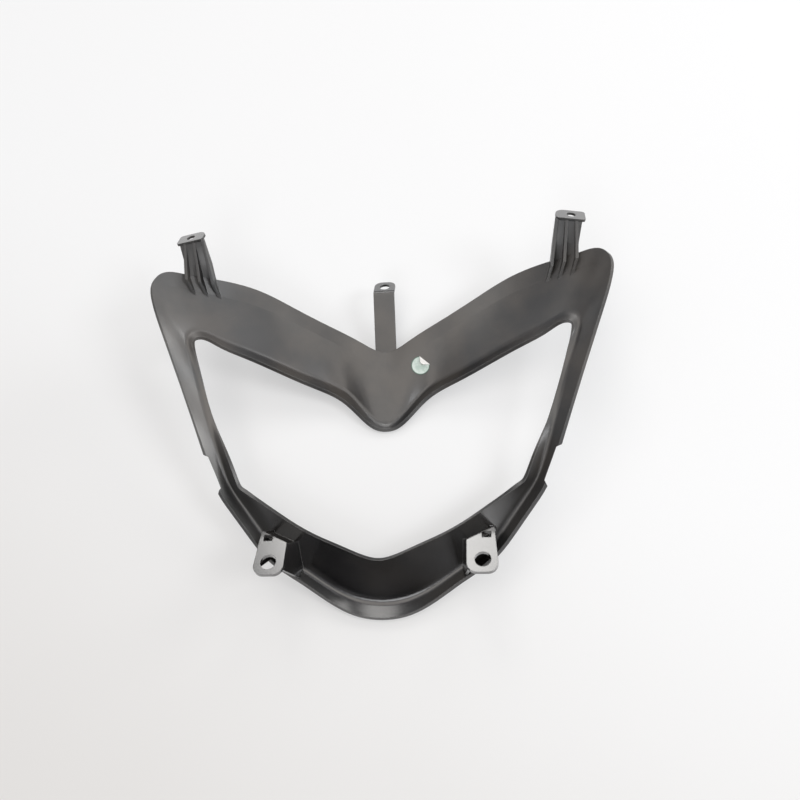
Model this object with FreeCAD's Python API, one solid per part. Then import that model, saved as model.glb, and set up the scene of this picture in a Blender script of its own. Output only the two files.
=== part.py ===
import FreeCAD, Part
import math
import os

V = FreeCAD.Vector

# All sizes are in millimetres. The moulding is drawn on its rim plane: X to the side from the mirror plane,
# Y from the chin up to the brow, Z from the rim towards the inner side. It is laid on the table at the end.

# wall and section of the channel
wall = 2.5
fold_blend = 2.5
bevel_share = 0.25
bevel_sink = 1.6
bevel_bias = 2.2

# outer rim, from the vee of the brow round the ear to the chin
vee_up = 30.2
vee_sink = -45.0
vee_radius = 12.0
shoulder_out = 90.0
shoulder_up = 80.0
shoulder_sink = -33.0
shoulder_radius = 60.0
ear_out = 147.0
ear_up = 88.0
ear_sink = -3.0
ear_radius = 12.0
temple_out = 143.8
temple_up = 64.0
temple_rise = 1.0
temple_radius = 20.0
hip_out = 101.5
hip_up = -57.0
hip_rise = 2.0
hip_radius = 70.0
jaw_out = 71.2
jaw_up = -98.2
jaw_rise = 2.0
jaw_radius = 45.0
chin_up = -147.3
chin_rise = 0.5
chin_radius = 52.0

# edge of the headlight opening
nose_up = -26.5
nose_sink = -35.0
nose_radius = 16.0
bend_out = 29.0
bend_up = 2.2
bend_sink = -35.5
bend_radius = 18.0
corner_out = 124.5
corner_up = 46.9
corner_sink = -9.5
corner_radius = 5.0
side_out = 107.2
side_up = -9.5
side_sink = -4.7
side_radius = 220.0
heel_out = 88.8
heel_up = -56.0
heel_rise = 1.0
heel_radius = 8.0
sill_bend_out = 45.2
sill_bend_up = -83.75
sill_bend_rise = 6.5
sill_bend_radius = 120.0
sill_up = -102.85
sill_rise = 11.0
sill_radius = 26.0

# valley of the channel, between the rim and the opening
valley_nose_up = -22.0
valley_nose_sink = -36.4
valley_nose_radius = 12.0
valley_bend_out = 27.0
valley_bend_up = 6.8
valley_bend_sink = -45.2
valley_bend_radius = 14.0
valley_corner_out = 130.8
valley_corner_up = 54.5
valley_corner_sink = -11.6
valley_corner_radius = 8.5
valley_side_out = 110.8
valley_side_up = -9.5
valley_side_sink = -3.0
valley_side_radius = 220.0
valley_heel_out = 97.0
valley_heel_up = -54.0
valley_heel_sink = -6.5
valley_heel_radius = 60.0
valley_jaw_out = 68.0
valley_jaw_up = -94.5
valley_jaw_radius = 45.0
valley_chin_up = -139.0
valley_chin_sink = -5.0
valley_chin_radius = 60.0

# sections in each of the three spans of a half: brow, arm and jaw
sections_per_span = 9

# relief cut into the rim of each arm
relief_top = -33.0
relief_bottom = -58.5
relief_depth = 3.2
relief_ramp = 3.0

# the three upper mounts lean from the normal of the rim plane by one angle, and are thinner than the shell
mount_angle = 49.5
mount_wall = 1.6

# horns: ribbed posts on the brow, each closed by a cap with a screw hole
horn_hole_out = 123.6
horn_hole_up = 109.5
horn_hole_sink = -13.0
horn_hole_radius = 2.8
horn_roll = 10.0
horn_cap_in = 9.8
horn_cap_out = 8.8
horn_cap_depth = 12.0
horn_cap_round = 2.0
horn_cap_back_round = 6.0
horn_front = 5.5
horn_top_in = 113.6
horn_top_out = 127.6
horn_foot_in = 109.5
horn_foot_out = 126.8
horn_flank = 13.0
horn_ribs = 3
horn_rib = 2.0
horn_knee = 6.0
horn_toe = 17.0
horn_toe_lean = 4.0

# centre tab: a strip that runs up from the vee and bends back into a holed end
tab_width = 14.0
tab_bend_up = 72.4
tab_bend_sink = -41.0
tab_bend_radius = 2.0
tab_end = 13.5
tab_end_round = 5.0
tab_hole_reach = 7.0
tab_hole_radius = 3.4

# lugs: holed plates above the jaw, each on a root wall and two webs
lug_angle = 34.0
lug_hole_out = 63.0
lug_hole_up = -99.1
lug_hole_rise = 26.9
lug_hole_radius = 4.7
lug_end = 8.2
lug_end_half = 9.3
lug_end_round = 6.0
lug_root_round = 0.8
lug_outer_root = 21.4
lug_outer_half = 6.8
lug_inner_root = 12.8
lug_inner_half = 9.5
lug_web_reach = 4.0
lug_web_inset = 0.8
lug_inner_lean = 3.0
lug_outer_lean = 1.0
lug_rib = 2.0
lug_slot_out = 2.2
lug_slot_root = 16.2
lug_slot_width = 5.5
lug_slot_length = 4.0

# inspection sticker on the face of the brow, with one side come loose and folded back
sticker_radius = 6.1
sticker_out = 23.2
sticker_up = 22.1
sticker_paper = 0.3
sticker_glue = 0.1
sticker_fold = 45.0
sticker_turn = 50.0
sticker_flap = 3.4
sticker_lift = 24.0

# how the moulding lies on the table
rest_angle = 16.8

# reach of tools that cut clear through, and depth to which pieces of the moulding run into its wall
clear = 40.0
bite = 1.2


def rounded_corner(before, point, after, radius):
    """Two arcs that round one corner of a path, meeting in its middle."""
    back = (before - point).normalize()
    ahead = (after - point).normalize()
    half = back.getAngle(ahead) / 2
    centre = point + (back + ahead).normalize() * (radius / math.sin(half))
    start = point + back * (radius / math.tan(half))
    end = point + ahead * (radius / math.tan(half))
    middle = centre + (point - centre).normalize() * radius
    arcs = []
    for first, last in ((start, middle), (middle, end)):
        between = centre + ((first + last) / 2 - centre).normalize() * radius
        arcs.append(Part.Arc(first, between, last).toShape())
    return arcs


def half_guide(corners):
    """Spans of a guide curve from the brow to the chin; corners are (point, radius, ends a span)."""
    mirrored = [V(-point.x, point.y, point.z) for point in (corners[1][0], corners[-2][0])]
    points = [mirrored[0]] + [corner[0] for corner in corners] + [mirrored[1]]
    spans = [[]]
    here = None
    for index, (point, radius, ends_span) in enumerate(corners):
        first, second = rounded_corner(points[index], point, points[index + 2], radius)
        if here is not None:
            spans[-1].append(Part.makeLine(here, first.Vertexes[0].Point))
            spans[-1].append(first)
        if ends_span and here is not None:
            spans.append([])
        spans[-1].append(second)
        here = second.Vertexes[-1].Point
    return spans[:-1]


def points_along(span, count):
    """Points along the edges of a span, closer together near both of its ends."""
    total = sum(edge.Length for edge in span)
    points = []
    for step in range(count + 1):
        run = total * (1 - math.cos(math.pi * step / count)) / 2
        for edge in span:
            if run <= edge.Length or edge is span[-1]:
                points.append(edge.valueAt(edge.getParameterByLength(min(run, edge.Length))))
                break
            run -= edge.Length
    return points


def guide_points(corners):
    """Matched points of a whole guide curve."""
    points = []
    for span in half_guide(corners):
        points += points_along(span, sections_per_span)[bool(points):]
    return points


def travel(points):
    """Direction of travel at each point of a guide; both ends cross the mirror plane squarely."""
    ways = [V(1, 0, 0)]
    for before, after in zip(points, points[2:]):
        ways.append((after - before).normalize())
    return ways + [V(-1, 0, 0)]


def rim_guide():
    return guide_points([
        (V(0, vee_up, vee_sink), vee_radius, True),
        (V(shoulder_out, shoulder_up, shoulder_sink), shoulder_radius, False),
        (V(ear_out, ear_up, ear_sink), ear_radius, True),
        (V(temple_out, temple_up, temple_rise), temple_radius, False),
        (V(hip_out, hip_up, hip_rise), hip_radius, True),
        (V(jaw_out, jaw_up, jaw_rise), jaw_radius, False),
        (V(0, chin_up, chin_rise), chin_radius, True),
    ])


def opening_guide():
    return guide_points([
        (V(0, nose_up, nose_sink), nose_radius, True),
        (V(bend_out, bend_up, bend_sink), bend_radius, False),
        (V(corner_out, corner_up, corner_sink), corner_radius, True),
        (V(side_out, side_up, side_sink), side_radius, False),
        (V(heel_out, heel_up, heel_rise), heel_radius, True),
        (V(sill_bend_out, sill_bend_up, sill_bend_rise), sill_bend_radius, False),
        (V(0, sill_up, sill_rise), sill_radius, True),
    ])


def valley_guide():
    return guide_points([
        (V(0, valley_nose_up, valley_nose_sink), valley_nose_radius, True),
        (V(valley_bend_out, valley_bend_up, valley_bend_sink), valley_bend_radius, False),
        (V(valley_corner_out, valley_corner_up, valley_corner_sink), valley_corner_radius, True),
        (V(valley_side_out, valley_side_up, valley_side_sink), valley_side_radius, False),
        (V(valley_heel_out, valley_heel_up, valley_heel_sink), valley_heel_radius, True),
        (V(valley_jaw_out, valley_jaw_up, valley_chin_sink), valley_jaw_radius, False),
        (V(0, valley_chin_up, valley_chin_sink), valley_chin_radius, True),
    ])


def outward(way, leg):
    """Unit normal of a wall that runs along two directions, away from the inner side."""
    return way.cross(leg).normalize()


def channel_section(rim, valley, edge, ways, sink):
    """Closed section of the channel: bevel, face, blended fold and lip, with the wall behind them."""
    face = (valley - rim).normalize()
    lip = (edge - valley).normalize()
    rim_out = outward(ways[0], face)
    face_out = outward(ways[1], face)
    lip_out = outward(ways[1], lip)
    edge_out = outward(ways[2], lip)
    crease = rim + (valley - rim) * bevel_share + rim_out * sink
    fold_out = (face_out + lip_out) * (wall / (1 + face_out.dot(lip_out)))
    inner = [rim, crease, valley - face * fold_blend, valley, valley + lip * fold_blend, edge]
    outer = [edge + edge_out * wall]
    outer += [point + fold_out for point in (inner[4], inner[3], inner[2])]
    outer += [crease + rim_out * wall, rim + rim_out * wall]
    edges = []
    for side in (inner, outer):
        blend = 2 if side is inner else 1
        for index in range(len(side) - 1):
            if index == blend:
                curve = Part.BezierCurve()
                curve.setPoles(side[blend:blend + 3])
                edges.append(curve.toShape())
            elif index != blend + 1:
                edges.append(Part.makeLine(side[index], side[index + 1]))
        edges.append(Part.makeLine(side[-1], (outer if side is inner else inner)[0]))
    return Part.Wire(edges)


def stations():
    """Rim, valley and opening edge with their directions of travel, section by section."""
    guides = (rim_guide(), valley_guide(), opening_guide())
    return list(zip(zip(*guides), zip(*(travel(guide) for guide in guides))))


def half_channel():
    sections = []
    for index, (spots, ways) in enumerate(stations()):
        share = min(index / sections_per_span, 1)
        sections.append(channel_section(*spots, ways, bevel_sink * math.sin(math.pi * share ** bevel_bias)))
    return Part.makeLoft(sections, True, False)


def both_sides(half):
    return half.fuse(half.mirror(V(0, 0, 0), V(1, 0, 0)))


def prism(points, way):
    """Solid between a flat outline and its copy moved along a vector."""
    return Part.Face(Part.makePolygon(points + points[:1])).extrude(way)


def face_height(shell, out, up):
    """Height of the inner face above or below the rim plane, found with a plumb line."""
    plumb = shell.common(Part.makeLine(V(out, up, clear), V(out, up, -2 * clear)))
    return plumb.BoundBox.ZMax


def face_points(shell, start, end, count):
    """Points just inside the wall along a straight plan line over the inner face."""
    points = []
    for step in range(count + 1):
        spot = start + (end - start) * (step / count)
        points.append(V(spot.x, spot.y, face_height(shell, spot.x, spot.y) - bite))
    return points


def rim_spot(axis, value, first_section):
    """Rim point where one coordinate passes a value, with its way along the face and its outward normal."""
    rows = stations()[first_section:]
    for ((low, low_valley, _), (low_way, _, _)), ((high, high_valley, _), _) in zip(rows, rows[1:]):
        start, end = getattr(low, axis), getattr(high, axis)
        if min(start, end) <= value <= max(start, end):
            share = (value - start) / (end - start)
            rim = low + (high - low) * share
            face = (low_valley + (high_valley - low_valley) * share - rim).normalize()
            return rim, face, outward(low_way, face)


def relief():
    """Cutter for the relief in the outer edge of an arm."""
    top, bottom = (rim_spot("y", up, sections_per_span + 1)[0] for up in (relief_top, relief_bottom))
    down = V(bottom.x - top.x, bottom.y - top.y, 0).normalize()
    inward = V(down.y, -down.x, 0)
    top, bottom = top - inward * wall, bottom - inward * wall
    outline = [top - inward * clear, top, top + inward * relief_depth + down * relief_ramp,
               bottom + inward * relief_depth - down * relief_ramp, bottom, bottom - inward * clear]
    return prism([V(point.x, point.y, -clear) for point in outline], V(0, 0, 2 * clear))


def leaning(angle, out, up, rise):
    """Placement of a plate whose normal leans from the rim plane's normal towards the brow."""
    return FreeCAD.Placement(V(out, up, rise), FreeCAD.Rotation(V(1, 0, 0), -angle))


def rounded_plate(corners, thick):
    """Plate under its own drawing plane; corners are (out, up, radius), anticlockwise."""
    points = [V(out, up, 0) for out, up, _ in corners]
    arcs = []
    for index, (_, _, radius) in enumerate(corners):
        after = points[(index + 1) % len(points)]
        arcs.append(rounded_corner(points[index - 1], points[index], after, radius))
    edges = []
    for before, after in zip(arcs[-1:] + arcs[:-1], arcs):
        edges.append(Part.makeLine(before[1].Vertexes[-1].Point, after[0].Vertexes[0].Point))
        edges += after
    return Part.Face(Part.Wire(edges)).extrude(V(0, 0, -thick))


def horn_place():
    """Placement of a horn's cap, rolled so that its outer end is the lower one."""
    roll = FreeCAD.Placement(V(), FreeCAD.Rotation(V(0, 1, 0), horn_roll))
    return leaning(mount_angle, horn_hole_out, horn_hole_up, horn_hole_sink).multiply(roll)


def horn_cap():
    """Cap of a horn, rounder at its inner corner behind."""
    end = horn_cap_depth / 2
    cap = rounded_plate([(-horn_cap_in, -end, horn_cap_round), (horn_cap_out, -end, horn_cap_round),
                         (horn_cap_out, end, horn_cap_round), (-horn_cap_in, end, horn_cap_back_round)],
                        mount_wall)
    cap.Placement = horn_place()
    return cap


def horn_web():
    """Wall of a horn, from the rim of the brow to the front of the cap, flared under it on the outer side."""
    place = horn_place()
    behind = place.Rotation.multVec(V(0, wall, 0))
    sides = (horn_top_in - horn_hole_out, horn_cap_out - horn_cap_round)
    tops = [place.multVec(V(out, -horn_front, -mount_wall / 2)) for out in sides]
    spots = [rim_spot("x", out, 0) for out in (horn_foot_in, horn_foot_out)]
    feet = [rim + face * bite + back * (wall - bite) / 2 for rim, face, back in spots]
    foot_back = (spots[0][2] + spots[1][2]).normalize() * bite
    share = horn_flank / (tops[1] - feet[1]).Length
    flank = [top + (foot - top) * share for top, foot in zip(tops, feet)]
    flank[1].x = horn_top_out
    levels = [(feet, foot_back), (flank, behind), (tops, behind)]
    quads = [[inner, outer, outer + back, inner + back] for (inner, outer), back in levels]
    return Part.makeLoft([Part.makePolygon(quad + quad[:1]) for quad in quads], True, True)


def horn_rib_solids(shell, share):
    """One rib on a horn: it grows out of the wall from the cap down, and its toe runs out on the brow."""
    place = horn_place()
    at_top = horn_top_in + (horn_top_out - horn_rib - horn_top_in) * share
    at_foot = horn_foot_in + (horn_foot_out - horn_rib - horn_foot_in) * share
    rim, face, back = rim_spot("x", at_foot, 0)
    foot = rim + face * bite + back * bite
    knee = rim + place.Rotation.multVec(V(0, -horn_knee, 0))
    top = V(at_top - horn_hole_out, -horn_front, -mount_wall / 2)
    post = [place.multVec(top + V(0, wall / 2, 0)), place.multVec(top), knee, foot]
    up = leaning(mount_angle, 0, 0, 0).multVec(V(0, 0, 1))
    heights = [point.dot(up) for point in post]
    for point, height in zip(post, heights):
        point.x = at_top + (at_foot - at_top) * (heights[0] - height) / (heights[0] - heights[3])
    toe = rim + face * horn_toe
    toe = V(at_foot - horn_toe_lean, toe.y, face_height(shell, at_foot - horn_toe_lean, toe.y) - bite)
    return [prism(post, V(horn_rib, 0, 0)), prism([foot, knee, toe], V(horn_rib, 0, 0))]


def horn(shell):
    """Ribbed post with its cap, and the drill for the screw hole."""
    drill = Part.makeCylinder(horn_hole_radius, 2 * wall, V(0, 0, -1.5 * wall))
    drill.Placement = horn_place()
    ribs = [horn_rib_solids(shell, index / (horn_ribs - 1)) for index in range(horn_ribs)]
    return [horn_web(), horn_cap()] + sum(ribs, []), drill


def centre_tab():
    """Strip from the vee of the brow with its bent end, and the drill for the hole."""
    start = V(0, vee_up - 2 * wall, vee_sink - bite / 2)
    bend = V(0, tab_bend_up, tab_bend_sink)
    place = leaning(mount_angle, 0, tab_bend_up, tab_bend_sink)
    end_back = place.Rotation.multVec(V(0, 0, -mount_wall))
    end = place.multVec(V(0, tab_end, 0))
    run = (bend - start).normalize()
    run_back = V(0, run.z, -run.y) * mount_wall
    bend_back = bend + (run_back + end_back) * (1 / (1 + run_back.dot(end_back) / mount_wall ** 2))
    outline = [start, bend, end, end + end_back, bend_back, start + run_back]
    side = V(tab_width / 2, 0, 0)
    strip = prism([point - side for point in outline], side * 2)
    outside = [edge for edge in strip.Edges if edge.distToShape(Part.Vertex(bend))[0] < 1e-6]
    strip = strip.makeFillet(tab_bend_radius + mount_wall, outside)
    inside = [edge for edge in strip.Edges if edge.distToShape(Part.Vertex(bend_back))[0] < 1e-6]
    strip = strip.makeFillet(tab_bend_radius, inside)
    across = [edge for edge in strip.Edges if abs(edge.Length - mount_wall) < 1e-6
              and edge.distToShape(Part.Vertex(end))[0] < tab_width]
    strip = strip.makeFillet(tab_end_round, across)
    drill = Part.makeCylinder(tab_hole_radius, 2 * wall, V(0, tab_hole_reach, -1.5 * wall))
    drill.Placement = place
    return strip, drill


def lug_place():
    return leaning(lug_angle, lug_hole_out, lug_hole_up, lug_hole_rise)


def lug_plate():
    """Plate of a lug: slanted at its root, with a rounded free end."""
    plate = rounded_plate([(lug_outer_half, lug_outer_root, lug_root_round),
                           (-lug_inner_half, lug_inner_root, lug_root_round),
                           (-lug_end_half, -lug_end, lug_end_round),
                           (lug_end_half, -lug_end, lug_end_round)], wall)
    plate.Placement = lug_place()
    return plate


def lug_web(shell, half, root, lean):
    """Web under one side of a lug's plate, leaning inwards as it follows the inner face down to the rim."""
    place = lug_place()
    top = place.multVec(V(half, root, -wall / 2))
    tip = place.multVec(V(half, -lug_web_reach, -wall / 2))
    rim = rim_spot("x", top.x - lean, 2 * sections_per_span)[0]
    low = face_points(shell, V(top.x - lean, rim.y + lug_web_inset, 0), V(top.x, top.y, 0), 8)
    outline = [top, tip] + low
    for point in outline[1:]:
        point.x = top.x - lean * (top.z - point.z) / (top.z - rim.z)
    return prism(outline, V(lug_rib if half < 0 else -lug_rib, 0, 0))


def lug_root_wall(shell):
    """Upright wall from the root of a lug's plate down to the inner face of the jaw."""
    place = lug_place()
    outer = place.multVec(V(lug_outer_half, lug_outer_root, -wall / 2))
    inner = place.multVec(V(-lug_inner_half, lug_inner_root, -wall / 2))
    low = face_points(shell, V(inner.x, inner.y, 0), V(outer.x, outer.y, 0), 4)
    along = (outer - inner).normalize()
    return prism([outer, inner] + low, V(along.y, -along.x, 0).normalize() * wall)


def lug(shell):
    """Plate, webs and root wall of a lug, and its cutters."""
    solids = [lug_plate(), lug_web(shell, -lug_inner_half, lug_inner_root, lug_inner_lean),
              lug_web(shell, lug_outer_half, lug_outer_root, lug_outer_lean), lug_root_wall(shell)]
    drill = Part.makeCylinder(lug_hole_radius, 2 * wall, V(0, 0, -1.5 * wall))
    slot_corner = V(lug_slot_out - lug_slot_width / 2, lug_slot_root - lug_slot_length / 2, -1.5 * wall)
    slot = Part.makeBox(lug_slot_width, lug_slot_length, 2 * wall, slot_corner)
    for shape in (drill, slot):
        shape.Placement = lug_place()
    return solids, [drill, slot]


def fairing_shell(half):
    horn_solids, horn_drill = horn(half)
    lug_solids, lug_cutters = lug(half)
    half = half.cut(relief()).fuse(horn_solids + lug_solids).cut([horn_drill] + lug_cutters)
    tab, tab_drill = centre_tab()
    return both_sides(half).fuse(tab).cut(tab_drill)


def sticker_place(shell):
    """Placement on the face of the brow, turned so that local X points at the loose side."""
    spots = [V(out, up, face_height(shell, out, up)) for out, up in (
        (sticker_out, sticker_up), (sticker_out + sticker_radius, sticker_up),
        (sticker_out, sticker_up + sticker_radius))]
    across = spots[1] - spots[0]
    normal = across.cross(spots[2] - spots[0])
    place = FreeCAD.Placement(spots[0], FreeCAD.Rotation(across, V(), normal, "ZXY"))
    return place.multiply(FreeCAD.Placement(V(), FreeCAD.Rotation(V(0, 0, 1), sticker_turn)))


def inspection_sticker(shell):
    """Round paper sticker on the face of the brow; past a chord it has come loose and folds back."""
    place = sticker_place(shell)
    lift = place.Rotation.multVec(V(0, 0, 1))
    fold = sticker_radius * math.cos(math.radians(sticker_fold))
    half = sticker_radius * math.sin(math.radians(sticker_fold))
    punch = Part.makeCylinder(sticker_radius, 2 * wall, V(0, 0, -wall))
    punch = punch.cut(Part.makeBox(clear, 2 * clear, 2 * clear, V(fold, -clear, -clear)))
    punch.Placement = place
    top, under = shell.copy(), shell.copy()
    top.translate(lift * (sticker_glue + sticker_paper))
    under.translate(lift * sticker_glue)
    disc = top.common(punch).cut(under)
    flap = prism([V(0, -half, 0), V(0, half, 0), V(-sticker_flap, half - sticker_flap, 0),
                  V(-sticker_flap, sticker_flap - half, 0)], V(0, 0, sticker_paper))
    root = place.multVec(V(fold, 0, 0))
    root.z = face_height(shell, root.x, root.y)
    hinge = place.inverse().multVec(root) + V(0, 0, sticker_glue + sticker_paper / 2)
    flap.Placement = place.multiply(FreeCAD.Placement(hinge, FreeCAD.Rotation(V(0, 1, 0), sticker_lift)))
    return disc.fuse(flap).removeSplitter()


def pieces():
    half = half_channel()
    return {"fairing_shell": fairing_shell(half), "inspection_sticker": inspection_sticker(half)}


# hand-in: lay the pieces on the table, over the middle of the outline, and write them
os.makedirs("parts", exist_ok=True)
laid = pieces()
for shape in laid.values():
    shape.rotate(V(0, 0, 0), V(1, 0, 0), rest_angle)
box = laid["fairing_shell"].optimalBoundingBox(False)
for name, shape in laid.items():
    shape.translate(V(0, -box.Center.y, -box.ZMin))
    shape.exportStep("parts/%s.step" % name)
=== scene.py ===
"""Looks of a moulded headlight fairing that lies face down on a pale table."""

from __future__ import annotations

import logging
import math
from dataclasses import dataclass, field
from enum import Enum
from typing import Any, Optional, Union

import bpy
from mathutils import Euler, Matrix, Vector

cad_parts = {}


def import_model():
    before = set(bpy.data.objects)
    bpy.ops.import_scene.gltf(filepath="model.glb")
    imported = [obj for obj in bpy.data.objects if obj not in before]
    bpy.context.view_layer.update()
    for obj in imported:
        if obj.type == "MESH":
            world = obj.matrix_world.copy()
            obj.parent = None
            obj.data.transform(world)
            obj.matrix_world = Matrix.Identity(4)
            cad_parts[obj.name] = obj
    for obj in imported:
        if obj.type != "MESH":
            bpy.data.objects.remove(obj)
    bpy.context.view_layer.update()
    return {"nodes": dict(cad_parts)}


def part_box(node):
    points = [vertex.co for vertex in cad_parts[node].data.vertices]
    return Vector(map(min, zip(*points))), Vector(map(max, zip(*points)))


LOG = logging.getLogger("fairing")

Colour = tuple[float, float, float]
Point = tuple[float, float, float]
# A share is 0 at the first value and 1 at the second.
Fade = tuple[float, float]
Wire = Union["Value", int, float]

WHITE: Colour = (1.0, 1.0, 1.0)
SEEN_DIRECTLY = ("Camera", "Glossy", "Transmission")
# Sockets of a Mix node that is set to colours.
MIX_SHARE = 0
MIX_COLOURS = (6, 7)
MIX_RESULT = 2


class Scale(Enum):
    """Sizes of surface detail, as the width of one patch in metres."""

    DUST = 0.0016
    GRAIN = 0.0007
    SCUFF = 0.006
    SHEEN = 0.035
    CLOUD = 0.09

    @property
    def density(self) -> float:
        """Patches per metre, which is what a noise node takes as its scale."""
        return 1.0 / self.value


class Axis(Enum):
    """Directions of the frame, under the names that a Separate XYZ node gives them."""

    ACROSS = "X"
    CHIN_TO_BROW = "Y"
    HEIGHT = "Z"


class VectorStep(Enum):
    """Operations of a Vector Math node."""

    MINUS = "SUBTRACT"
    CROSS = "CROSS_PRODUCT"
    DOT = "DOT_PRODUCT"
    LENGTH = "LENGTH"

    @property
    def output(self) -> str:
        """Socket that holds the result."""
        return "Value" if self in (VectorStep.DOT, VectorStep.LENGTH) else "Vector"


class Value:
    """One output socket of a shader node, with arithmetic that adds Math nodes."""

    def __init__(self, graph: "Graph", socket: Optional[bpy.types.NodeSocket]) -> None:
        """Keep the socket and the graph it lives in.

        Args:
            graph: Graph that new nodes are added to.
            socket: Output socket that carries the value; a node that ends a graph has none.
        """
        self.graph = graph
        self.socket = socket

    def _math(self, operation: str, first: Wire, second: Wire) -> "Value":
        """Add one Math node.

        Args:
            operation: Operation name of the Math node.
            first: First operand.
            second: Second operand.

        Returns:
            The node's result.
        """
        return self.graph.node("ShaderNodeMath", {"operation": operation}, {0: first, 1: second})

    def __add__(self, other: Wire) -> "Value":
        """Sum."""
        return self._math("ADD", self, other)

    def __radd__(self, other: Wire) -> "Value":
        """Sum with a number on the left."""
        return self._math("ADD", other, self)

    def __sub__(self, other: Wire) -> "Value":
        """Difference."""
        return self._math("SUBTRACT", self, other)

    def __rsub__(self, other: Wire) -> "Value":
        """Difference with a number on the left."""
        return self._math("SUBTRACT", other, self)

    def __mul__(self, other: Wire) -> "Value":
        """Product."""
        return self._math("MULTIPLY", self, other)

    def __rmul__(self, other: Wire) -> "Value":
        """Product with a number on the left."""
        return self._math("MULTIPLY", other, self)

    def ramp(self, low: float, high: float) -> "Value":
        """Smooth step from 0 to 1 between two values.

        Args:
            low: Value that maps to 0.
            high: Value that maps to 1.

        Returns:
            The stepped value.
        """
        settings = {"interpolation_type": "SMOOTHSTEP"}
        inputs = {"Value": self, "From Min": low, "From Max": high}
        return self.graph.node("ShaderNodeMapRange", settings, inputs)

    def ramp_both_sides(self, low: float, high: float) -> "Value":
        """Smooth step over the square, so that it is alike on both sides of zero.

        Args:
            low: Distance from zero that maps to 0.
            high: Distance from zero that maps to 1.

        Returns:
            The stepped value.
        """
        return (self * self).ramp(low**2, high**2)


class Graph:
    """Node tree of one material or of the surroundings."""

    def __init__(self, owner: Union[bpy.types.Material, bpy.types.World]) -> None:
        """Start with an empty tree.

        Args:
            owner: Material or world that the tree belongs to.
        """
        owner.use_nodes = True
        self.owner = owner
        self.tree = owner.node_tree
        self.tree.nodes.clear()

    @classmethod
    def of_material(cls, name: str) -> "Graph":
        """Graph of a new material."""
        return cls(bpy.data.materials.new(name))

    def node(
        self,
        kind: str,
        settings: Optional[dict[str, Any]] = None,
        inputs: Optional[dict[Union[str, int], Any]] = None,
        output: Union[str, int] = 0,
    ) -> Value:
        """Add any node.

        Args:
            kind: Node type.
            settings: Properties of the node, which are set first.
            inputs: Values or links by socket name or index.
            output: Socket to return.

        Returns:
            The chosen output of the new node.
        """
        made = self.tree.nodes.new(kind)
        for key, setting in (settings or {}).items():
            setattr(made, key, setting)
        for key, given in (inputs or {}).items():
            if isinstance(given, Value):
                self.tree.links.new(given.socket, made.inputs[key])
            else:
                made.inputs[key].default_value = given
        return Value(self, made.outputs[output] if len(made.outputs) else None)

    def place(self) -> Value:
        """Coordinates on the surface, in metres."""
        return self.node("ShaderNodeTexCoord", None, None, "Object")

    def normal(self) -> Value:
        """Direction that the surface faces."""
        return self.node("ShaderNodeNewGeometry", None, None, "Normal")

    def along(self, vector: Value, axis: Axis) -> Value:
        """One coordinate of a vector."""
        return self.node("ShaderNodeSeparateXYZ", None, {"Vector": vector}, axis.value)

    def vector(self, step: VectorStep, first: Value, second: Any = None) -> Value:
        """Add one Vector Math node.

        Args:
            step: What the node does.
            first: First operand.
            second: Second operand, linked or as three numbers, where the step takes one.

        Returns:
            The node's result.
        """
        inputs: dict[Union[str, int], Any] = {0: first}
        if second is not None:
            inputs[1] = second if isinstance(second, Value) else tuple(second)
        return self.node("ShaderNodeVectorMath", {"operation": step.value}, inputs, step.output)

    def noise(self, where: Value, scale: Scale, detail: float = 3.0, stretch: float = 1.0) -> Value:
        """Noise value over the surface.

        Args:
            where: Coordinates to read the noise at.
            scale: Width of a patch.
            detail: Octaves.
            stretch: Factor on the density.

        Returns:
            Noise between 0 and 1.
        """
        inputs = {"Vector": where, "Scale": scale.density * stretch, "Detail": detail}
        return self.node("ShaderNodeTexNoise", {"noise_dimensions": "3D"}, inputs, "Fac")

    def mix(self, share: Wire, first: Any, second: Any) -> Value:
        """Mix of two colours.

        Args:
            share: Share of the second colour.
            first: Colour at share 0.
            second: Colour at share 1.

        Returns:
            The mixed colour.
        """
        inputs: dict[Union[str, int], Any] = {MIX_SHARE: share}
        for index, colour in zip(MIX_COLOURS, (first, second)):
            inputs[index] = colour if isinstance(colour, Value) else (*colour, 1.0)
        return self.node("ShaderNodeMix", {"data_type": "RGBA"}, inputs, MIX_RESULT)

    def relief(self, height: Value, depth: float, strength: float, over: Optional[Value] = None) -> Value:
        """Fine relief that turns the normal.

        Args:
            height: Height of the relief, between 0 and 1.
            depth: Height of the relief in metres.
            strength: Share of the relief that shows.
            over: Normal that the relief lies on, if it isn't the surface's own.

        Returns:
            The turned normal.
        """
        inputs = {"Strength": strength, "Distance": depth, "Height": height}
        if over is not None:
            inputs["Normal"] = over
        return self.node("ShaderNodeBump", None, inputs)

    def finish(self, shader: Value) -> bpy.types.Material:
        """Connect a shader to the output.

        Args:
            shader: Surface shader.

        Returns:
            The finished material.
        """
        self.node("ShaderNodeOutputMaterial", None, {"Surface": shader})
        return self.owner


@dataclass(frozen=True)
class Patches:
    """Uneven patches over a surface, as noise that is cut off between two values."""

    scale: Scale
    detail: float
    cut: Fade
    stretch: float = 1.0

    def share(self, g: Graph, where: Value) -> Value:
        """Share of the patches at each place."""
        return g.noise(where, self.scale, self.detail, self.stretch).ramp(*self.cut)


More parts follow.
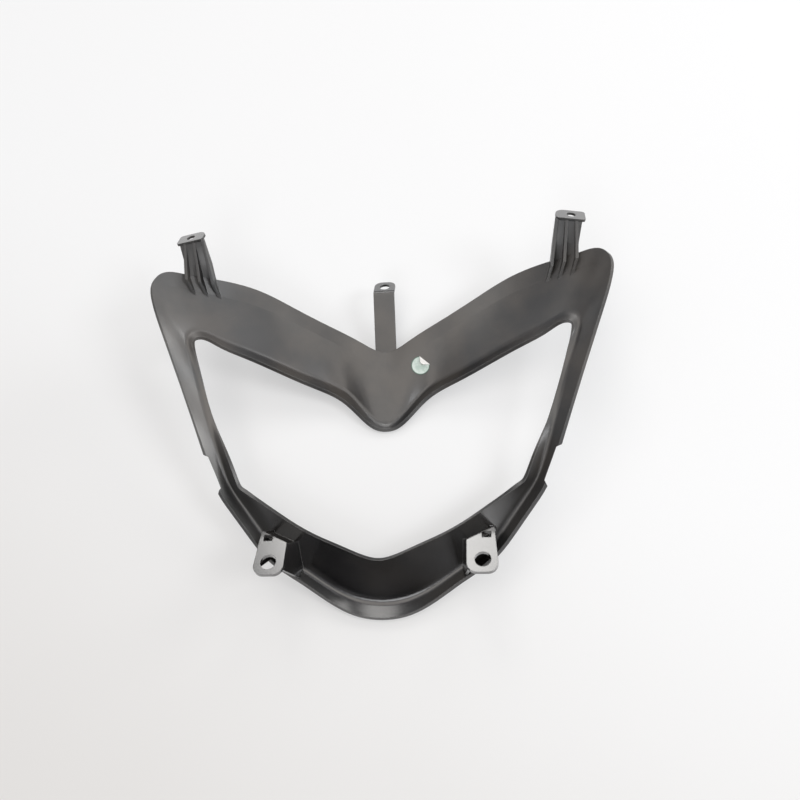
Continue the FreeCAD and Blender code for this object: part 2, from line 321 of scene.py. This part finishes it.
@dataclass(frozen=True)
class SatinPlastic:
    """Black plastic as it leaves a lightly textured mould."""

    name: str = "satin_black_plastic"
    deep: Colour = (0.0075, 0.0074, 0.0076)
    pale: Colour = (0.0370, 0.0308, 0.0250)
    scuffed: Colour = (0.060, 0.058, 0.056)
    dust: Colour = (0.20, 0.195, 0.185)
    ior: float = 1.58
    specular: float = 1.0
    gloss_rough: float = 0.22
    gloss_ior: float = 1.8

    # Roughness of the moulding at its smoothest and dullest, and of single places.
    rough_low: float = 0.33
    rough_high: float = 0.44
    rough_mount: float = 0.20
    rough_ear: float = 0.58
    rough_chin: float = 0.20
    rough_chin_spread: float = 0.06
    rough_wear: float = 0.08

    # Where those places start and end, in metres from the middle of the frame.
    film_along: Fade = (-0.060, 0.0)
    lug_height: Fade = (0.035, 0.036)
    lug_along: Fade = (-0.080, -0.076)
    top_along: Fade = (0.085, 0.088)
    ear_across: Fade = (0.112, 0.126)
    ear_along: Fade = (0.050, 0.070)
    chin_across: Fade = (0.058, 0.078)
    chin_along: Fade = (-0.070, -0.050)
    # How far the face of a cap or of the tab's end turns towards the brow.
    top_facing: Fade = (0.42, 0.50)

    # Film of handling, wear on the edges, dust and grain.
    film: Patches = Patches(Scale.CLOUD, 4.0, (0.36, 0.64), 2.2)
    film_on_chin: float = 0.25
    sheen: Patches = Patches(Scale.SHEEN, 4.0, (0.30, 0.70))
    rubbed: Patches = Patches(Scale.SCUFF, 6.0, (0.42, 0.62))
    edge_turn: Fade = (0.01, 0.16)
    edge_radius: float = 0.0006
    edge_samples: int = 6
    wear_strength: float = 0.7
    dusty: Patches = Patches(Scale.SHEEN, 2.0, (0.55, 0.75), 1.7)
    speck_radius: Fade = (0.06, 0.12)
    dust_strength: float = 0.5
    grain_detail: float = 2.0
    grain_depth: float = 0.00003
    grain_strength: float = 0.35

    def material(self) -> bpy.types.Material:
        """Build the material.

        Returns:
            Plastic with mould grain, uneven sheen, polished mounts, worn edges and a little dust.
        """
        g = Graph.of_material(self.name)
        where = g.place()
        soft = g.node("ShaderNodeBevel", {"samples": self.edge_samples}, {"Radius": self.edge_radius})
        worn = self.worn_edges(g, where, soft)
        dust = self.dust_specks(g, where)
        colour = g.mix(self.handled(g, where), self.deep, self.pale)
        colour = g.mix(worn * self.wear_strength, colour, self.scuffed)
        colour = g.mix(dust * self.dust_strength, colour, self.dust)
        polished = self.polished_mounts(g, where)
        grain = g.noise(where, Scale.GRAIN, self.grain_detail)
        inputs = {
            "Base Color": colour,
            "Roughness": self.roughness(g, where, polished) + worn * self.rough_wear,
            "Normal": g.relief(grain, self.grain_depth, self.grain_strength, soft),
            "IOR": self.ior,
            "Specular IOR Level": self.specular,
            "Coat Weight": polished,
            "Coat Roughness": self.gloss_rough,
            "Coat IOR": self.gloss_ior,
        }
        return g.finish(g.node("ShaderNodeBsdfPrincipled", None, inputs))

    def handled(self, g: Graph, where: Value) -> Value:
        """Cloudy film that handling leaves, mostly on the brow.

        Args:
            g: Graph to add to.
            where: Coordinates on the surface.

        Returns:
            Share of film.
        """
        brow = g.along(where, Axis.CHIN_TO_BROW).ramp(*self.film_along)
        return self.film.share(g, where) * (self.film_on_chin + (1 - self.film_on_chin) * brow)

    def worn_edges(self, g: Graph, where: Value, soft: Value) -> Value:
        """Rubbed spots along the sharp edges.

        Args:
            g: Graph to add to.
            where: Coordinates on the surface.
            soft: Normal with its edges rounded.

        Returns:
            Share of wear.
        """
        edge = (1 - g.vector(VectorStep.DOT, soft, g.normal())).ramp(*self.edge_turn)
        return edge * self.rubbed.share(g, where)

    def dust_specks(self, g: Graph, where: Value) -> Value:
        """Fine specks that gather in patches.

        Args:
            g: Graph to add to.
            where: Coordinates on the surface.

        Returns:
            Share of dust.
        """
        inputs = {"Vector": where, "Scale": Scale.DUST.density}
        cell = g.node("ShaderNodeTexVoronoi", {"feature": "F1"}, inputs)
        return (1 - cell.ramp(*self.speck_radius)) * self.dusty.share(g, where)

    def polished_mounts(self, g: Graph, where: Value) -> Value:
        """Faces of the lugs, horn caps and tab end that the mould leaves shiny.

        Args:
            g: Graph to add to.
            where: Coordinates on the surface.

        Returns:
            Share of polish.
        """
        along = g.along(where, Axis.CHIN_TO_BROW)
        height = g.along(where, Axis.HEIGHT)
        facing = g.along(g.normal(), Axis.CHIN_TO_BROW)
        lugs = height.ramp(*self.lug_height) * (1 - along.ramp(*self.lug_along))
        tops = along.ramp(*self.top_along) * facing.ramp(*self.top_facing)
        return lugs + tops

    def roughness(self, g: Graph, where: Value, polished: Value) -> Value:
        """Sheen of the moulding: dull on the brow's ends, smooth on the chin and on polished mounts.

        Args:
            g: Graph to add to.
            where: Coordinates on the surface.
            polished: Share of polish.

        Returns:
            Roughness.
        """
        across = g.along(where, Axis.ACROSS)
        along = g.along(where, Axis.CHIN_TO_BROW)
        uneven = self.sheen.share(g, where)
        rough = self.rough_low + (self.rough_high - self.rough_low) * uneven
        ear = across.ramp_both_sides(*self.ear_across) * along.ramp(*self.ear_along)
        rough = rough + ear * (self.rough_ear - rough)
        middle = 1 - across.ramp_both_sides(*self.chin_across)
        chin = (1 - along.ramp(*self.chin_along)) * middle
        rough = rough + chin * (self.rough_chin + self.rough_chin_spread * uneven - rough)
        return rough + polished * (self.rough_mount - rough)


@dataclass(frozen=True)
class StickerPaper:
    """Pale green sticker paper with a printed rim and a white back."""

    name: str = "pale_green_sticker_paper"
    face: Colour = (0.47, 0.57, 0.51)
    faded: Colour = (0.64, 0.71, 0.66)
    rim: Colour = (0.12, 0.19, 0.15)
    back: Colour = (0.76, 0.745, 0.72)
    fading: Patches = Patches(Scale.SCUFF, 3.0, (0.35, 0.65), 2.0)
    rim_radius: Fade = (0.0055, 0.0057)
    # Distance from the loose side's plane, which is white up to the second value.
    loose_gap: Fade = (0.0004, 0.0002)
    rough: float = 0.62
    rough_fibre: float = 0.2
    fibre_detail: float = 4.0
    fibre_depth: float = 0.00004
    fibre_strength: float = 0.4

    def material(self, middle: Vector, face: Vector, crease: Vector, loose: Vector) -> bpy.types.Material:
        """Build the material.

        Args:
            middle: Middle of the sticker.
            face: Normal of the part that still sticks.
            crease: Point on the part that has come loose.
            loose: Normal of that part.

        Returns:
            Matt paper with fibres, uneven fading and a printed rim, white where its loose side folds back.
        """
        g = Graph.of_material(self.name)
        where = g.place()
        fibre = g.noise(where, Scale.GRAIN, self.fibre_detail)
        in_plane = g.vector(VectorStep.CROSS, g.vector(VectorStep.MINUS, where, middle), face)
        reach = g.vector(VectorStep.LENGTH, in_plane)
        gap = g.vector(VectorStep.DOT, g.vector(VectorStep.MINUS, where, crease), loose)
        colour = g.mix(self.fading.share(g, where), self.face, self.faded)
        colour = g.mix(reach.ramp(*self.rim_radius), colour, self.rim)
        colour = g.mix(gap.ramp_both_sides(*self.loose_gap), colour, self.back)
        inputs = {
            "Base Color": colour,
            "Roughness": self.rough + self.rough_fibre * fibre,
            "Normal": g.relief(fibre, self.fibre_depth, self.fibre_strength),
        }
        return g.finish(g.node("ShaderNodeBsdfPrincipled", None, inputs))


@dataclass(frozen=True)
class TableTop:
    """Pale matt table, seen a little whiter than its shade, with painted shade that makes it darker and
    warmer towards the front.
    """

    name: str = "pale_table"
    # Colour of the lit table, then the darker, warmer colour of the painted shade towards the front.
    cool: Colour = (0.785, 0.79, 0.795)
    painted_front_shade: Colour = (0.540, 0.518, 0.495)
    whiteness: float = 0.40
    rough: float = 0.9
    specular: float = 0.1
    # The tone turns darker and warmer along this direction, as painted shade towards the front, between two
    # distances in metres.
    painted_shade_way: Point = (-0.5, -0.9, 0.0)
    painted_shade_reach: Fade = (-0.05, 0.40)
    cloud_detail: float = 2.0
    cloud_stretch: float = 0.4
    cloud_shift: float = 0.06

    def material(self) -> bpy.types.Material:
        """Build the material.

        Returns:
            Matt white, with painted shade that makes it a little darker and warmer towards the front, and
            broad uneven tone.
        """
        g = Graph.of_material(self.name)
        where = g.place()
        cloud = g.noise(where, Scale.CLOUD, self.cloud_detail, self.cloud_stretch)
        # Painted shade: the table turns darker and warmer towards the front, with a wavering edge.
        front = g.vector(VectorStep.DOT, where, self.painted_shade_way) + self.cloud_shift * cloud
        colour = g.mix(front.ramp(*self.painted_shade_reach), self.cool, self.painted_front_shade)
        inputs = {"Base Color": colour, "Roughness": self.rough, "Specular IOR Level": self.specular}
        matt = g.node("ShaderNodeBsdfPrincipled", None, inputs)
        white = g.node("ShaderNodeEmission", None, {"Color": (*WHITE, 1.0), "Strength": 1.0})
        seen = [g.node("ShaderNodeLightPath", None, None, f"Is {kind} Ray") for kind in SEEN_DIRECTLY]
        share = sum(seen[1:], seen[0]) * self.whiteness
        return g.finish(g.node("ShaderNodeMixShader", None, {0: share, 1: matt, 2: white}))


@dataclass(frozen=True)
class FlagCloth:
    """Black cloth of a flag that keeps stray light off."""

    name: str = "black_flag_cloth"
    deep: Colour = (0.006, 0.006, 0.006)
    pale: Colour = (0.010, 0.010, 0.010)
    rough: float = 0.95
    specular: float = 0.0

    def material(self) -> bpy.types.Material:
        """Build the material.

        Returns:
            Matt black with a faint weave.
        """
        g = Graph.of_material(self.name)
        colour = g.mix(g.noise(g.place(), Scale.SCUFF), self.deep, self.pale)
        inputs = {"Base Color": colour, "Roughness": self.rough, "Specular IOR Level": self.specular}
        return g.finish(g.node("ShaderNodeBsdfPrincipled", None, inputs))


def dress_node(piece: bpy.types.Object, material: bpy.types.Material) -> None:
    """Put one material in every slot of a frame object.

    Args:
        piece: Object of the frame.
        material: Material for its slots.
    """
    for slot in piece.material_slots:
        slot.material = material


@dataclass
class FairingShell:
    """The moulding itself, which comes whole from the frame."""

    node: str = "fairing_shell"
    finish: SatinPlastic = field(default_factory=SatinPlastic)

    def dress(self, nodes: dict[str, bpy.types.Object]) -> None:
        """Give the moulding its finish.

        Args:
            nodes: Objects of the frame by node name.
        """
        dress_node(nodes[self.node], self.finish.material())
        LOG.info("dressed %s", self.node)


@dataclass
class InspectionSticker:
    """Round paper sticker on the brow, with one side come loose."""

    node: str = "inspection_sticker"
    finish: StickerPaper = field(default_factory=StickerPaper)
    # The normal of an upper face rises by more than this.
    upward: float = 0.3
    # A face that still sticks is this much in line with the mean of all upper faces.
    stuck: float = 0.975

    def dress(self, nodes: dict[str, bpy.types.Object]) -> None:
        """Give the sticker its finish.

        Args:
            nodes: Objects of the frame by node name.
        """
        upper = [side for side in nodes[self.node].data.polygons if side.normal.z > self.upward]
        face = sum((side.normal * side.area for side in upper), Vector()).normalized()
        lifted = [side for side in upper if side.normal.dot(face) <= self.stuck]
        loose = max(lifted, key=lambda side: side.area)
        low, high = (Vector(corner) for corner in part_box(self.node))
        middle = (low + high) / 2
        dress_node(nodes[self.node], self.finish.material(middle, face, loose.center, loose.normal))
        LOG.info("dressed %s", self.node)


@dataclass(frozen=True)
class Lamp:
    """One soft round lamp that faces the object, as bright as it looks from there."""

    name: str
    azimuth: float
    elevation: float
    distance: float
    radius: float
    brightness: float
    colour: Colour = WHITE

    @property
    def way(self) -> Vector:
        """Direction from the object to the lamp; azimuth turns from +X towards +Y, in degrees."""
        turn, rise = math.radians(self.azimuth), math.radians(self.elevation)
        return Vector((math.cos(turn) * math.cos(rise), math.sin(turn) * math.cos(rise), math.sin(rise)))

    def build(self) -> None:
        """Add the lamp to the scene."""
        data = bpy.data.lights.new(self.name, "AREA")
        data.shape = "DISK"
        data.size = 2 * self.radius
        data.energy = math.pi * (math.pi * self.radius**2) * self.brightness
        data.color = self.colour
        lamp = bpy.data.objects.new(self.name, data)
        lamp.location = self.way * self.distance
        lamp.rotation_euler = (-self.way).to_track_quat("-Z", "Y").to_euler()
        lamp.visible_camera = False
        bpy.context.scene.collection.objects.link(lamp)
        LOG.info("lamp %s", self.name)


@dataclass
class Studio:
    """Table, lamps, surroundings and camera."""

    table: TableTop = field(default_factory=TableTop)
    table_side: float = 8.0
    surroundings: Colour = (0.39, 0.39, 0.405)
    flag: FlagCloth = field(default_factory=FlagCloth)
    flag_reach: float = 3.95
    flag_left: float = 5.00
    flag_right: float = 1.70
    flag_top: float = 2.00
    camera_place: Point = (0.08323, -0.19861, 0.55365)
    camera_turn: Point = (21.614, 7.414, 0.689)
    lens: float = 40.5
    sensor: float = 36.0
    nearest: float = 0.01
    farthest: float = 20.0
    lamps: tuple[Lamp, ...] = (
        Lamp("ceiling_softbox", 180.0, 84.0, 2.4, 1.10, 1.35, (1.0, 0.945, 0.88)),
        Lamp("upper_right_window", 40.0, 54.0, 2.2, 0.40, 0.9, (0.97, 0.985, 1.0)),
        Lamp("right_window", -10.0, 44.0, 2.4, 0.40, 10.0, (0.97, 0.985, 1.0)),
        Lamp("side_window", 24.0, 22.0, 2.2, 0.50, 5.5, (0.99, 0.99, 0.98)),
        Lamp("left_window", 158.0, 48.0, 2.2, 0.40, 0.5),
        Lamp("far_window", 99.5, 43.0, 2.2, 0.42, 4.4, (1.0, 0.985, 0.96)),
        Lamp("back_right_window", 64.0, 34.0, 2.2, 0.40, 2.6, (1.0, 0.985, 0.96)),
        Lamp("front_window", -97.0, 42.0, 2.2, 0.45, 3.4, (0.98, 0.99, 1.0)),
        Lamp("front_right_window", -50.0, 18.0, 2.2, 0.30, 2.4),
    )

    def build(self) -> None:
        """Set the whole stage."""
        self.build_table()
        self.build_flag()
        self.build_surroundings()
        for lamp in self.lamps:
            lamp.build()
        self.build_camera()

    def build_sheet(self, name: str, corners: list[Point], material: bpy.types.Material) -> bpy.types.Object:
        """Add one flat sheet that belongs to the stage.

        Args:
            name: Name of the sheet.
            corners: Its corners in order.
            material: Its finish.

        Returns:
            The new object.
        """
        mesh = bpy.data.meshes.new(name)
        mesh.from_pydata(corners, [], [tuple(range(len(corners)))])
        mesh.materials.append(material)
        sheet = bpy.data.objects.new(name, mesh)
        bpy.context.scene.collection.objects.link(sheet)
        LOG.info("sheet %s", name)
        return sheet

    def build_table(self) -> None:
        """Add the table top."""
        half = self.table_side / 2
        corners = [(-half, -half, 0.0), (half, -half, 0.0), (half, half, 0.0), (-half, half, 0.0)]
        self.build_sheet("table_top", corners, self.table.material())

    def build_flag(self) -> None:
        """Hang a black flag at the front of the room, out of the camera's sight."""
        left, right, reach, top = -self.flag_left, self.flag_right, -self.flag_reach, self.flag_top
        corners = [(left, reach, 0.0), (right, reach, 0.0), (right, reach, top), (left, reach, top)]
        self.build_sheet("black_flag", corners, self.flag.material()).visible_camera = False

    def build_surroundings(self) -> None:
        """Give the room an even pale tone."""
        world = bpy.data.worlds.new("room")
        bpy.context.scene.world = world
        g = Graph(world)
        walls = g.node("ShaderNodeBackground", None, {"Color": (*self.surroundings, 1.0), "Strength": 1.0})
        g.node("ShaderNodeOutputWorld", None, {"Surface": walls})
        LOG.info("surroundings")

    def build_camera(self) -> None:
        """Place the camera as the photograph was taken."""
        data = bpy.data.cameras.new("photo_camera")
        data.lens = self.lens
        data.sensor_width = self.sensor
        data.sensor_fit = "HORIZONTAL"
        data.clip_start = self.nearest
        data.clip_end = self.farthest
        camera = bpy.data.objects.new("photo_camera", data)
        camera.location = self.camera_place
        camera.rotation_euler = Euler([math.radians(angle) for angle in self.camera_turn], "XYZ")
        bpy.context.scene.collection.objects.link(camera)
        bpy.context.scene.camera = camera
        LOG.info("camera")


def main() -> None:
    """Dress the frame and set the stage."""
    logging.basicConfig(level=logging.INFO, format="%(message)s")
    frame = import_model()
    bpy.context.scene.view_settings.view_transform = "Standard"
    FairingShell().dress(frame["nodes"])
    InspectionSticker().dress(frame["nodes"])
    Studio().build()


if __name__ == "__main__":
    main()
